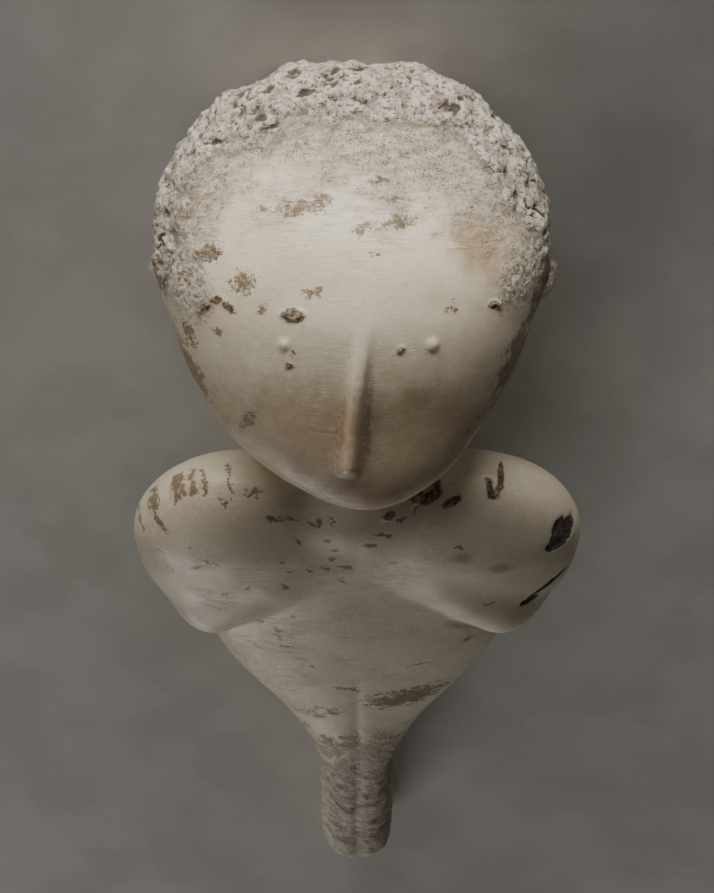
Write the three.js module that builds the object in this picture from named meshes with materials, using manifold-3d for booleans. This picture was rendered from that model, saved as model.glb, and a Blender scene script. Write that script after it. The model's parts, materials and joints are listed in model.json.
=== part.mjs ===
// Schematic stone figurine of the stargazer kind: a large egg-shaped head tipped far
// back, a slim neck, stub arms folded into rounded shoulder lobes, a flat wedge of a
// torso and two legs joined side by side. It is one carved piece of stone.
//
// The form is written as one smooth function of space that is negative inside the
// stone. That suits a carving rubbed down by hand: every part flows into the next.
// The function is worked out with the figurine standing (x to its left, y up to the
// head, z to the front), meshed, and then laid on its back, head toward +Y, because
// its rounded feet cannot hold it upright. Units are millimetres.

import * as THREE from 'three';
import Module from 'manifold-3d';

const radians = Math.PI / 180;

// --- Torso and legs: a wedge whose half-width, half-depth and centre vary upward ----
// Each row is [height, value]; heights run from the toes to the base of the neck.
const FOOT_BOTTOM = -3.5;
const TORSO_TOP = 114;
const FOOT_ROUNDING = 5;
const TORSO_TOP_ROUNDING = 17;
const WEDGE_SQUARENESS = 2.3;
const HALF_WIDTH = [
  [-3.5, 5.0], [4, 5.7], [14, 5.7], [25, 5.8], [32, 6.9], [40, 9.2], [48, 12.6],
  [56, 16.8], [64, 20.2], [72, 22.2], [82, 22.0], [95, 20.0], [114, 20.0],
];
const HALF_DEPTH = [[-3.5, 4.8], [10, 5.3], [40, 5.8], [60, 6.0], [85, 6.6], [114, 6.8]];
const DEPTH_CENTRE = [[-3.5, 2.2], [8, 0.8], [25, 0], [60, 0.1], [95, -0.2], [114, -0.6]];

// --- Stub arms: an upper-arm lobe and a forearm folded up across the chest ----------
const ARM_CENTRE = [19.2, 92.6, -0.4];
const ARM_RADII = [13.2, 18.0, 7.4];
const ARM_LEAN = -4 * radians;
const ELBOW = [21.7, 80.6, 2.9];
const ELBOW_RADIUS = 4.2;
const HAND = [13.0, 89.3, 2.7];
const HAND_RADIUS = 3.4;
const FOREARM_BLEND = 5.0;
const ARMPIT_BLEND = 0.7;
const SHOULDER_BLEND = 9;
const SHOULDER_BLEND_FROM = 82;
const SHOULDER_BLEND_TO = 102;

// --- Neck ---------------------------------------------------------------------------
const NECK_BASE = [0, 106, -1.2];
const NECK_BASE_RADIUS = 6.2;
const NECK_TOP = [-0.3, 128, -5.5];
const NECK_TOP_RADIUS = 5.4;
const NECK_BLEND = 6;

// --- Head: an egg in outline, tipped back from upright ------------------------------
const HEAD_CENTRE = [-0.7, 142.5, -12.4];
const HEAD_TIP_BACK = 51 * radians;
// The outline as a radius around a centre, from the chin at -90 degrees to the crown
// at +90. The rows beyond either end only carry the curve smoothly past the ends.
const OUTLINE_CENTRE = 3;
const OUTLINE_RADIUS = [
  [-108, 31.8], [-90, 34.0], [-72, 31.9], [-54, 29.0], [-36, 26.9], [-18, 26.2],
  [0, 27.4], [18, 28.5], [36, 29.4], [54, 29.4], [72, 29.1], [90, 28.2], [108, 29.0],
];
// The face stands out most at the brow and falls away to the chin and to the crown.
const FACE_DEPTH = 11.0;
const BROW_BULGE = 6.8;
const BROW_LEVEL = -2.0;
const BROW_REACH = { chinward: 17, crownward: 20 };
const NAPE_DEPTH = 15.0;
const HEAD_SQUARENESS = 2.2;
// The chin was carved a little to the figurine's left of the crown.
const CHIN_SHIFT = 1.9;
const CHIN_SHIFT_FROM = -18;
const CHIN_SHIFT_TO = -33;
const HEAD_BLEND = 3;

// --- Face and ears, in head coordinates [across, toward the crown, out of the face] --
// The nose is a narrow ridge that rises out of the brow, leans a little and ends bluntly.
const NOSE_HEIGHT = 1.7;
const NOSE_HALF_WIDTH = 1.25;
const NOSE_CENTRE = 1.76;
const NOSE_LEAN = 0.09;
const NOSE_RISE = [-2, -14];
const NOSE_END = [-25.6, -24.0];
const EYES = [[-9.2, -5.9, 15.1], [10.9, -6.0, 14.8]];
const EYE_RADII = [0.8, 0.9, 1.4];
const EYE_BLEND = 0.5;
const EARS = [
  { centre: [-27.5, 4.0, -4.0], lean: 14 * radians },
  { centre: [27.0, 1.3, -4.5], lean: -14 * radians },
];
const EAR_RADII = [1.5, 3.4, 1.7];
const EAR_BLEND = 0.6;

// --- Groove between the legs, front and back, fading out up the belly ---------------
const GROOVE_HALF_WIDTH = 0.8;
const GROOVE_DEPTH = 0.45;
const GROOVE_FADE = [36, 46];
const BELLY_LINE_DEPTH = 0.12;
const BELLY_LINE_FADE = [50, 68];

// --- Lying on its back ---------------------------------------------------------------
// Two small flats, rubbed on the back of the head and on the heels, keep it from
// rocking. Each is as deep as this at most.
const REST_FLAT_DEPTH = 0.4;

// --- Facets: grid spacing, finer across the leg groove, the nose and the eyes -------
const COARSE = 2.75;
const FINE_ACROSS = [
  { centre: -0.3, half: 2.1, step: 0.95 },
  { centre: -9.9, half: 1.2, step: 1.2 },
  { centre: 10.3, half: 1.2, step: 1.2 },
];
const FINE_UP = [{ centre: 150.4, half: 1.6, step: 1.2 }];
const FINE_DEEP = [{ centre: 1.8, half: 1.6, step: 1.2 }];
const GRID_LOW = [-36.1, -7.7, -46.1];
const GRID_HIGH = [36, 172, 24];
const RELAX_ROUNDS = 2;

// A smooth curve through [position, value] rows that never overshoots them.
function curveThrough(rows) {
  const last = rows.length - 1;
  const slopes = rows.map(() => 0);
  const rise = [];
  for (let i = 0; i < last; i += 1) {
    rise.push((rows[i + 1][1] - rows[i][1]) / (rows[i + 1][0] - rows[i][0]));
  }
  slopes[0] = rise[0];
  slopes[last] = rise[last - 1];
  for (let i = 1; i < last; i += 1) {
    const product = rise[i - 1] * rise[i];
    slopes[i] = product <= 0 ? 0 : (2 * product) / (rise[i - 1] + rise[i]);
  }
  return (position) => {
    const at = Math.min(Math.max(position, rows[0][0]), rows[last][0]);
    let i = 0;
    while (i < last - 1 && at > rows[i + 1][0]) i += 1;
    const span = rows[i + 1][0] - rows[i][0];
    const t = (at - rows[i][0]) / span;
    const t2 = t * t;
    const t3 = t2 * t;
    return (2 * t3 - 3 * t2 + 1) * rows[i][1]
      + (t3 - 2 * t2 + t) * span * slopes[i]
      + (3 * t2 - 2 * t3) * rows[i + 1][1]
      + (t3 - t2) * span * slopes[i + 1];
  };
}

function smoothStep(from, to, value) {
  const t = Math.min(Math.max((value - from) / (to - from), 0), 1);
  return t * t * (3 - 2 * t);
}

// Joins two bodies with a fillet about as wide as `blend`.
function blendUnion(first, second, blend) {
  const overlap = Math.max(blend - Math.abs(first - second), 0) / blend;
  return Math.min(first, second) - overlap * overlap * blend * 0.25;
}

function ellipsoid(point, centre, radii, lean) {
  const across = point[0] - centre[0];
  const along = point[1] - centre[1];
  const u = (Math.cos(lean) * across + Math.sin(lean) * along) / radii[0];
  const v = (Math.cos(lean) * along - Math.sin(lean) * across) / radii[1];
  const w = (point[2] - centre[2]) / radii[2];
  const level = Math.hypot(u, v, w);
  const steepness = Math.hypot(u / radii[0], v / radii[1], w / radii[2]);
  return (level * (level - 1)) / Math.max(steepness, 1e-6);
}

function taperedRod(point, from, fromRadius, to, toRadius) {
  const axis = [to[0] - from[0], to[1] - from[1], to[2] - from[2]];
  const offset = [point[0] - from[0], point[1] - from[1], point[2] - from[2]];
  const along = offset[0] * axis[0] + offset[1] * axis[1] + offset[2] * axis[2];
  const t = Math.min(Math.max(along / Math.hypot(...axis) ** 2, 0), 1);
  const away = Math.hypot(
    offset[0] - t * axis[0],
    offset[1] - t * axis[1],
    offset[2] - t * axis[2],
  );
  return away - fromRadius - (toRadius - fromRadius) * t;
}

const halfWidthAt = curveThrough(HALF_WIDTH);
const halfDepthAt = curveThrough(HALF_DEPTH);
const depthCentreAt = curveThrough(DEPTH_CENTRE);
const outlineRadiusAt = curveThrough(OUTLINE_RADIUS);

function torsoAndLegs([x, y, z]) {
  const height = Math.min(Math.max(y, FOOT_BOTTOM), TORSO_TOP);
  const width = halfWidthAt(height);
  const depth = halfDepthAt(height);
  const footEnd = Math.max(0, FOOT_BOTTOM + FOOT_ROUNDING - y) / FOOT_ROUNDING;
  const neckEnd = Math.max(0, y - TORSO_TOP + TORSO_TOP_ROUNDING) / TORSO_TOP_ROUNDING;
  const sum = Math.abs(x / width) ** WEDGE_SQUARENESS
    + Math.abs((z - depthCentreAt(height)) / depth) ** WEDGE_SQUARENESS
    + footEnd ** WEDGE_SQUARENESS
    + neckEnd ** WEDGE_SQUARENESS;
  return (sum ** (1 / WEDGE_SQUARENESS) - 1) * Math.min(width, depth);
}

function arms([x, y, z]) {
  const mirrored = [Math.abs(x), y, z];
  const upper = ellipsoid(mirrored, ARM_CENTRE, ARM_RADII, ARM_LEAN);
  const forearm = taperedRod(mirrored, ELBOW, ELBOW_RADIUS, HAND, HAND_RADIUS);
  return blendUnion(upper, forearm, FOREARM_BLEND);
}

// Standing coordinates to head coordinates [across, toward the crown, out of the face].
function toHead([x, y, z]) {
  const up = y - HEAD_CENTRE[1];
  const out = z - HEAD_CENTRE[2];
  return [
    x - HEAD_CENTRE[0],
    up * Math.cos(HEAD_TIP_BACK) - out * Math.sin(HEAD_TIP_BACK),
    up * Math.sin(HEAD_TIP_BACK) + out * Math.cos(HEAD_TIP_BACK),
  ];
}

function faceDepthAt(crownward) {
  const fromBrow = crownward - BROW_LEVEL;
  const reach = fromBrow < 0 ? BROW_REACH.chinward : BROW_REACH.crownward;
  return FACE_DEPTH + BROW_BULGE * Math.exp(-((fromBrow / reach) ** 2));
}

function skull([across, crownward, outward]) {
  const shift = CHIN_SHIFT * smoothStep(CHIN_SHIFT_FROM, CHIN_SHIFT_TO, crownward);
  const side = Math.abs(across - shift);
  const rise = crownward - OUTLINE_CENTRE;
  const outline = outlineRadiusAt(Math.atan2(rise, side) / radians);
  const depth = outward > 0 ? faceDepthAt(crownward) : NAPE_DEPTH;
  const level = (Math.hypot(side, rise) / outline) ** HEAD_SQUARENESS
    + Math.abs(outward / depth) ** HEAD_SQUARENESS;
  return (level ** (1 / HEAD_SQUARENESS) - 1) * depth;
}

// How far the nose stands out of the face here.
function nose([across, crownward, outward]) {
  if (outward < 0) return 0;
  const side = (across - NOSE_CENTRE - NOSE_LEAN * crownward) / NOSE_HALF_WIDTH;
  const rise = smoothStep(-NOSE_RISE[0], -NOSE_RISE[1], -crownward);
  const end = smoothStep(...NOSE_END, crownward);
  return NOSE_HEIGHT * rise * end * Math.exp(-(side ** 4));
}

function head(point) {
  const local = toHead(point);
  let form = skull(local) - nose(local);
  for (const eye of EYES) {
    form = blendUnion(form, ellipsoid(local, eye, EYE_RADII, 0), EYE_BLEND);
  }
  for (const ear of EARS) {
    form = blendUnion(form, ellipsoid(local, ear.centre, EAR_RADII, ear.lean), EAR_BLEND);
  }
  return form;
}

function legGroove([x, y]) {
  const depth = GROOVE_DEPTH * (1 - smoothStep(...GROOVE_FADE, y))
    + BELLY_LINE_DEPTH * (1 - smoothStep(...BELLY_LINE_FADE, y));
  return depth * Math.exp(-((x / GROOVE_HALF_WIDTH) ** 2));
}

// The whole figurine standing: below zero inside the stone, above zero outside.
function figurine(point) {
  const rise = smoothStep(SHOULDER_BLEND_FROM, SHOULDER_BLEND_TO, point[1]);
  let form = blendUnion(torsoAndLegs(point), arms(point), ARMPIT_BLEND + SHOULDER_BLEND * rise);
  const neck = taperedRod(point, NECK_BASE, NECK_BASE_RADIUS, NECK_TOP, NECK_TOP_RADIUS);
  form = blendUnion(form, neck, NECK_BLEND);
  form = blendUnion(form, head(point), HEAD_BLEND);
  return form + legGroove(point);
}

function slopeOf(point) {
  const reach = 0.02;
  return [0, 1, 2].map((axis) => {
    const ahead = [...point];
    const behind = [...point];
    ahead[axis] += reach;
    behind[axis] -= reach;
    return (figurine(ahead) - figurine(behind)) / (2 * reach);
  });
}

// Moves a point onto the surface by a few Newton steps along the slope.
function settle(point) {
  const maxStep = 0.6;
  let [x, y, z] = point;
  for (let round = 0; round < 5; round += 1) {
    const level = figurine([x, y, z]);
    const slope = slopeOf([x, y, z]);
    const steepness = Math.max(Math.hypot(...slope), 0.2);
    const step = Math.min(Math.max(level / steepness, -maxStep), maxStep) / steepness;
    x -= step * slope[0];
    y -= step * slope[1];
    z -= step * slope[2];
  }
  return [x, y, z];
}

// Grid lines along one axis, closer together inside the fine bands.
function gridLines(low, high, fineBands) {
  const lines = [low];
  while (lines[lines.length - 1] < high) {
    const at = lines[lines.length - 1];
    let step = COARSE;
    for (const band of fineBands) {
      const distance = Math.abs(at + band.step / 2 - band.centre) - band.half;
      const widened = band.step + Math.max(0, distance);
      step = Math.min(step, widened);
    }
    lines.push(at + step);
  }
  return lines;
}

// One vertex in every grid cell the surface passes through, one quad across every
// grid edge it crosses, every vertex settled onto the surface.
function meshForm() {
  const xs = gridLines(GRID_LOW[0], GRID_HIGH[0], FINE_ACROSS);
  const ys = gridLines(GRID_LOW[1], GRID_HIGH[1], FINE_UP);
  const zs = gridLines(GRID_LOW[2], GRID_HIGH[2], FINE_DEEP);
  const lines = [xs, ys, zs];
  const stride = [1, xs.length, xs.length * ys.length];
  const levels = new Float64Array(xs.length * ys.length * zs.length);
  const indexOf = (i, j, k) => i * stride[0] + j * stride[1] + k * stride[2];
  for (let k = 0; k < zs.length; k += 1) {
    for (let j = 0; j < ys.length; j += 1) {
      for (let i = 0; i < xs.length; i += 1) {
        levels[indexOf(i, j, k)] = figurine([xs[i], ys[j], zs[k]]);
      }
    }
  }
  const cellVertex = new Int32Array(levels.length).fill(-1);
  let points = [];
  for (let k = 0; k < zs.length - 1; k += 1) {
    for (let j = 0; j < ys.length - 1; j += 1) {
      for (let i = 0; i < xs.length - 1; i += 1) {
        const sum = [0, 0, 0];
        let crossings = 0;
        for (let axis = 0; axis < 3; axis += 1) {
          for (let corner = 0; corner < 4; corner += 1) {
            const start = [i, j, k];
            start[(axis + 1) % 3] += corner & 1;
            start[(axis + 2) % 3] += corner >> 1;
            const here = indexOf(...start);
            const from = levels[here];
            const to = levels[here + stride[axis]];
            if ((from < 0) !== (to < 0)) {
              const t = from / (from - to);
              const along = lines[axis];
              for (let d = 0; d < 3; d += 1) sum[d] += lines[d][start[d]];
              sum[axis] += t * (along[start[axis] + 1] - along[start[axis]]);
              crossings += 1;
            }
          }
        }
        if (crossings > 0) {
          cellVertex[indexOf(i, j, k)] = points.length;
          points.push(sum.map((value) => value / crossings));
        }
      }
    }
  }
  const quads = [];
  for (let k = 1; k < zs.length - 1; k += 1) {
    for (let j = 1; j < ys.length - 1; j += 1) {
      for (let i = 1; i < xs.length - 1; i += 1) {
        const here = indexOf(i, j, k);
        for (let axis = 0; axis < 3; axis += 1) {
          const inside = levels[here] < 0;
          if (inside !== (levels[here + stride[axis]] < 0)) {
            const u = stride[(axis + 1) % 3];
            const v = stride[(axis + 2) % 3];
            const ring = [here - u - v, here - v, here, here - u];
            const quad = ring.map((cell) => cellVertex[cell]);
            quads.push(inside ? quad : quad.reverse());
          }
        }
      }
    }
  }
  points = points.map(settle);
  for (let round = 0; round < RELAX_ROUNDS; round += 1) {
    points = relax(points, quads).map(settle);
  }
  return { points, quads };
}

// Evens out the spacing of the vertices: each moves halfway to its neighbours' middle.
function relax(points, quads) {
  const sums = points.map(() => [0, 0, 0, 0]);
  for (const quad of quads) {
    for (let corner = 0; corner < 4; corner += 1) {
      const next = points[quad[(corner + 1) % 4]];
      const sum = sums[quad[corner]];
      for (let d = 0; d < 3; d += 1) sum[d] += next[d];
      sum[3] += 1;
    }
  }
  return points.map((point, n) => point.map((value, d) => {
    const middle = sums[n][d] / sums[n][3];
    return value + 0.5 * (middle - value);
  }));
}

// Splits each quad along its shorter diagonal.
function splitQuads(points, quads) {
  const distance = (a, b) => Math.hypot(
    points[a][0] - points[b][0],
    points[a][1] - points[b][1],
    points[a][2] - points[b][2],
  );
  const corners = [];
  for (const [a, b, c, d] of quads) {
    if (distance(a, c) <= distance(b, d)) corners.push(a, b, c, a, c, d);
    else corners.push(a, b, d, b, c, d);
  }
  return corners;
}

// Tips the standing points onto their back by the angle that brings the back of the
// head and the heels to the same level, then sets that level at the floor.
function layOnBack(points) {
  const tip = (angle) => points.map(([x, y, z]) => [
    x,
    y * Math.cos(angle) - z * Math.sin(angle),
    y * Math.sin(angle) + z * Math.cos(angle),
  ]);
  const isHead = points.map((point) => point[1] > (FOOT_BOTTOM + TORSO_TOP) / 2);
  const lowest = (tipped, wanted) => tipped.reduce(
    (low, point, n) => (isHead[n] === wanted ? Math.min(low, point[2]) : low),
    Infinity,
  );
  let tooFlat = 0;
  let tooSteep = 30 * radians;
  for (let round = 0; round < 40; round += 1) {
    const angle = (tooFlat + tooSteep) / 2;
    const tipped = tip(angle);
    if (lowest(tipped, true) < lowest(tipped, false)) tooFlat = angle;
    else tooSteep = angle;
  }
  const laid = tip((tooFlat + tooSteep) / 2);
  const floor = lowest(laid, true);
  const lengthwise = laid.map((point) => point[1]);
  const across = laid.map((point) => point[0]);
  const middle = (values) => (Math.min(...values) + Math.max(...values)) / 2;
  const centre = [middle(across), middle(lengthwise)];
  return laid.map(([x, y, z]) => [x - centre[0], y - centre[1], z - floor]);
}

function toManifold(wasm, geometry) {
  const mesh = new wasm.Mesh({
    numProp: 3,
    vertProperties: new Float32Array(geometry.getAttribute('position').array),
    triVerts: new Uint32Array(geometry.index.array),
  });
  return new wasm.Manifold(mesh);
}

// A plain slab with shared corners, its top face at the given height.
function slabBelow(height) {
  const size = 400;
  const half = size / 2;
  const corners = [];
  for (let n = 0; n < 8; n += 1) {
    corners.push(n & 1 ? half : -half, n & 2 ? half : -half, n & 4 ? height : height - half);
  }
  const geometry = new THREE.BufferGeometry();
  geometry.setAttribute('position', new THREE.Float32BufferAttribute(corners, 3));
  geometry.setIndex([
    0, 2, 3, 0, 3, 1, 4, 5, 7, 4, 7, 6, 0, 1, 5, 0, 5, 4,
    2, 6, 7, 2, 7, 3, 0, 4, 6, 0, 6, 2, 1, 3, 7, 1, 7, 5,
  ]);
  return geometry;
}

// Takes the rest flats off the underside and sets them on the floor.
function cutRestFlats(wasm, geometry) {
  const stone = toManifold(wasm, geometry);
  const slab = toManifold(wasm, slabBelow(REST_FLAT_DEPTH));
  const mesh = stone.subtract(slab).getMesh();
  const result = new THREE.BufferGeometry();
  const positions = new Float32Array(mesh.vertProperties);
  result.setAttribute('position', new THREE.BufferAttribute(positions, 3));
  result.setIndex(new THREE.BufferAttribute(new Uint32Array(mesh.triVerts), 1));
  result.translate(0, 0, -REST_FLAT_DEPTH);
  return result;
}

const wasm = await Module();
wasm.setup();

const { points, quads } = meshForm();
const rough = new THREE.BufferGeometry();
rough.setAttribute('position', new THREE.Float32BufferAttribute(layOnBack(points).flat(), 3));
rough.setIndex(splitQuads(points, quads));

const geometry = cutRestFlats(wasm, rough);
geometry.computeVertexNormals();

const marble = new THREE.MeshStandardMaterial({
  name: 'marble',
  color: 0xcfc3b2,
  roughness: 0.45,
  metalness: 0,
});

const figurineMesh = new THREE.Mesh(geometry, marble);
figurineMesh.name = 'figurine';

const part = new THREE.Group();
part.name = 'cycladic_figurine';
part.add(figurineMesh);

export default part;
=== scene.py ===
# %% [markdown]
# # A stone idol that looks at the sky
#
# The object is one piece of carved marble about a hand long: a big egg of a head tipped
# far back, a slim neck, stub arms folded into the shoulders, a flat wedge of a torso and
# two legs joined side by side. It cannot stand, so it lies on its back on a table.
#
# The lesson starts from a packed, measured model of the same stone. Its facets are a few
# millimetres wide, which is enough for fitting and for physics but not for the eye. Here
# the surface is carved again much finer, weathered, and given a stone finish.

import json
import math

import bpy
import numpy as np
from mathutils import Matrix, Vector

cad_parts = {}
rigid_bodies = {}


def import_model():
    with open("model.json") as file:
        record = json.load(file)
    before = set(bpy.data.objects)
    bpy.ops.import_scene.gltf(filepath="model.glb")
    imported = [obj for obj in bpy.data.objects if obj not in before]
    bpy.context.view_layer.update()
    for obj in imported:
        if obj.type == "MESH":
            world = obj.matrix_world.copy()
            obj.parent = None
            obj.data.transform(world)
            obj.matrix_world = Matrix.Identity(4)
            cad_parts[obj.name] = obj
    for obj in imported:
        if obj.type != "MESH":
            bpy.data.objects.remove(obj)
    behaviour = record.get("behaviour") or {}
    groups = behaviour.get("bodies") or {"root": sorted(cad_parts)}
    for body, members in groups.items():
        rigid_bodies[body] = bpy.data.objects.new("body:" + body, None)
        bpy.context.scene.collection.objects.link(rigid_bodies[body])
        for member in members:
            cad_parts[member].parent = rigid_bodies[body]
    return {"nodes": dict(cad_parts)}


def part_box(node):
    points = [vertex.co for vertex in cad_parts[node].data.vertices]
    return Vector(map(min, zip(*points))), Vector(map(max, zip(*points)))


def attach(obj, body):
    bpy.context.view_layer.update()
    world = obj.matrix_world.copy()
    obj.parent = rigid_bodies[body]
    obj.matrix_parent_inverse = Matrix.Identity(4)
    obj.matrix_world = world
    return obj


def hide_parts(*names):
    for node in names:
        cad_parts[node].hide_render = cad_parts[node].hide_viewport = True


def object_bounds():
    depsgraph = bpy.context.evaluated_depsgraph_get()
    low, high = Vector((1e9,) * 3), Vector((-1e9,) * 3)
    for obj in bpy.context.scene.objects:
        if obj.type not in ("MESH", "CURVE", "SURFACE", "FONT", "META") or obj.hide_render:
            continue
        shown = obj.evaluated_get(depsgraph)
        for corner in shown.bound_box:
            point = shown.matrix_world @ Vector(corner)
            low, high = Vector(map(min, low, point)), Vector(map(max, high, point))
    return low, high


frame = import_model()
measured_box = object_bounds()
low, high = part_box("figurine")
print("measured figurine, mm:", [round((b - a) * 1000, 1) for a, b in zip(low, high)])

# %% [markdown]
# ## The form, written as one function of space
#
# A carver rubs a figure down until every part flows into the next, so there are no edges
# where an arm is "added". Modelling it from separate meshes and smoothing the joins is
# one way; sculpting by hand is another. This scene uses a third: a function of space that
# is negative inside the stone and positive outside. Parts are blended with a soft
# minimum, which gives the fillets for free, and any mesh can be settled onto the surface
# exactly. It is worked out with the figurine standing: x to its left, y up, z to the
# front, in millimetres.

# %% Small tools for the form


def curve_through(*rows):
    """A smooth curve through (position, value) rows that never overshoots them."""
    at, value = np.array(rows, float).T
    rise = np.diff(value) / np.diff(at)
    slope = np.concatenate([rise[:1], np.zeros(len(at) - 2), rise[-1:]])
    same_way = rise[:-1] * rise[1:] > 0
    total = np.where(same_way, rise[:-1] + rise[1:], 1.0)
    slope[1:-1] = np.where(same_way, 2 * rise[:-1] * rise[1:] / total, 0.0)

    def evaluate(position):
        p = np.clip(position, at[0], at[-1])
        i = np.clip(np.searchsorted(at, p) - 1, 0, len(at) - 2)
        span = at[i + 1] - at[i]
        t = (p - at[i]) / span
        return (
            (2 * t**3 - 3 * t**2 + 1) * value[i]
            + (t**3 - 2 * t**2 + t) * span * slope[i]
            + (3 * t**2 - 2 * t**3) * value[i + 1]
            + (t**3 - t**2) * span * slope[i + 1]
        )

    return evaluate


def ease(start, end, value):
    """0 before start, 1 after end, and a smooth step between them."""
    t = np.clip((value - start) / (end - start), 0, 1)
    return t * t * (3 - 2 * t)


def blend_union(first, second, blend):
    """Joins two bodies with a fillet about as wide as blend."""
    overlap = np.maximum(blend - np.abs(first - second), 0) / blend
    return np.minimum(first, second) - overlap**2 * blend / 4


def ellipsoid(p, centre, radii, lean=0.0):
    d = p - np.array(centre)
    u = (math.cos(lean) * d[:, 0] + math.sin(lean) * d[:, 1]) / radii[0]
    v = (math.cos(lean) * d[:, 1] - math.sin(lean) * d[:, 0]) / radii[1]
    w = d[:, 2] / radii[2]
    level = np.sqrt(u**2 + v**2 + w**2)
    steepness = np.sqrt((u / radii[0]) ** 2 + (v / radii[1]) ** 2 + (w / radii[2]) ** 2)
    return level * (level - 1) / np.maximum(steepness, 1e-6)


def tapered_rod(p, start, start_radius, end, end_radius):
    axis = np.array(end, float) - np.array(start, float)
    offset = p - np.array(start)
    t = np.clip(offset @ axis / (axis @ axis), 0, 1)
    away = np.linalg.norm(offset - t[:, None] * axis, axis=1)
    return away - start_radius - (end_radius - start_radius) * t


# %% [markdown]
# ## Torso, legs and arms
#
# The body is a wedge whose width and depth change with height. Three curves give them,
# so a section anywhere is a slightly squared ellipse. Each arm is one lobe for the upper
# arm and a rod for the forearm, folded up across the chest. They blend widely at the
# shoulder and hardly at all in the armpit, where a crease parts arm and torso.

# %% Torso, legs and arms
FOOT_BOTTOM, TORSO_TOP = -3.5, 114
half_width_at = curve_through(
    (-3.5, 5.0), (4, 5.7), (14, 5.7), (25, 5.8), (32, 6.9), (40, 9.2), (48, 12.6),
    (56, 16.8), (64, 20.2), (72, 22.2), (82, 22.0), (95, 20.0), (114, 20.0),
)
half_depth_at = curve_through((-3.5, 4.8), (10, 5.3), (40, 5.8), (60, 6.0), (85, 6.6), (114, 6.8))
depth_centre_at = curve_through((-3.5, 2.2), (8, 0.8), (25, 0), (60, 0.1), (95, -0.2), (114, -0.6))
# An exponent of 2 makes a true ellipse; a little more makes the section squarer.
BODY_SQUARENESS = 2.3
FOOT_ROUNDING, SHOULDER_ROUNDING = 5, 17

UPPER_ARM_CENTRE, UPPER_ARM_RADII = (19.2, 92.6, -0.4), (13.2, 18.0, 7.4)
UPPER_ARM_LEAN = math.radians(-4)
ELBOW, ELBOW_RADIUS = (21.7, 80.6, 2.9), 4.2
HAND, HAND_RADIUS = (13.0, 89.3, 2.7), 3.4
FOREARM_BLEND = 5.0


def torso_and_legs(p):
    height = np.clip(p[:, 1], FOOT_BOTTOM, TORSO_TOP)
    width, depth = half_width_at(height), half_depth_at(height)
    foot_end = np.maximum(0, FOOT_BOTTOM + FOOT_ROUNDING - p[:, 1]) / FOOT_ROUNDING
    neck_end = np.maximum(0, p[:, 1] - TORSO_TOP + SHOULDER_ROUNDING) / SHOULDER_ROUNDING
    sideways = np.abs(p[:, 0] / width)
    out = np.abs(p[:, 2] - depth_centre_at(height)) / depth
    total = sum(part**BODY_SQUARENESS for part in (sideways, out, foot_end, neck_end))
    return (total ** (1 / BODY_SQUARENESS) - 1) * np.minimum(width, depth)


def arms(p):
    mirrored = np.stack([np.abs(p[:, 0]), p[:, 1], p[:, 2]], 1)
    upper = ellipsoid(mirrored, UPPER_ARM_CENTRE, UPPER_ARM_RADII, UPPER_ARM_LEAN)
    forearm = tapered_rod(mirrored, ELBOW, ELBOW_RADIUS, HAND, HAND_RADIUS)
    return blend_union(upper, forearm, FOREARM_BLEND)


# %% [markdown]
# ## The head
#
# Head features are easiest in the head's own coordinates: across, toward the crown, and
# out of the face. The outline is a radius that varies with direction, smallest at the
# temples and longest at the chin. The face bulges at the brow and falls away to the chin
# below it. The nose is a low ridge that rises out of the face and ends bluntly; eyes and
# ears are pellets that stand only a little proud of the skin around them.

# %% The head
HEAD_CENTRE = np.array([-0.7, 142.5, -12.4])
TIP_BACK = math.radians(51)
OUTLINE_CENTRE = 3.0
outline_radius_at = curve_through(
    (-108, 31.8), (-90, 34.0), (-72, 31.9), (-54, 29.0), (-36, 26.9), (-18, 26.2), (0, 27.4),
    (18, 28.5), (36, 29.4), (54, 29.4), (72, 29.1), (90, 28.2), (108, 29.0),
)
HEAD_SQUARENESS = 2.2
CHIN_LEAN = 1.9
FACE_DEPTH, BROW_BULGE, BACK_DEPTH = 11.0, 6.8, 15.0
BROW_LEVEL, BROW_TO_CHIN, BROW_TO_CROWN = -2.0, 17.0, 20.0
NOSE_HEIGHT, NOSE_HALF_WIDTH = 1.7, 1.25
NOSE_CENTRE, NOSE_LEAN = 1.76, 0.09
EYES = ((-9.2, -5.9, 15.1), (10.9, -6.0, 14.8))
EYE_RADII, EYE_BLEND = (0.8, 0.9, 1.4), 0.5
EARS = (((-27.5, 4.0, -4.0), math.radians(14)), ((27.0, 1.3, -4.5), math.radians(-14)))
EAR_RADII, EAR_BLEND = (1.5, 3.4, 1.7), 0.6


def face_depth_at(crownward):
    """How far the face stands out: most at the brow, less toward the chin and the crown."""
    from_brow = crownward - BROW_LEVEL
    reach = np.where(from_brow < 0, BROW_TO_CHIN, BROW_TO_CROWN)
    return FACE_DEPTH + BROW_BULGE * np.exp(-((from_brow / reach) ** 2))


def to_head(p):
    """Standing coordinates to (across, toward the crown, out of the face)."""
    d = p - HEAD_CENTRE
    crownward = d[:, 1] * math.cos(TIP_BACK) - d[:, 2] * math.sin(TIP_BACK)
    outward = d[:, 1] * math.sin(TIP_BACK) + d[:, 2] * math.cos(TIP_BACK)
    return np.stack([d[:, 0], crownward, outward], 1)


def share_of_outline(local):
    """0 on the head's axis, 1 on its rim."""
    side = np.abs(local[:, 0] - CHIN_LEAN * ease(-18, -33, local[:, 1]))
    rise = local[:, 1] - OUTLINE_CENTRE
    return np.hypot(side, rise) / outline_radius_at(np.degrees(np.arctan2(rise, side)))


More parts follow.
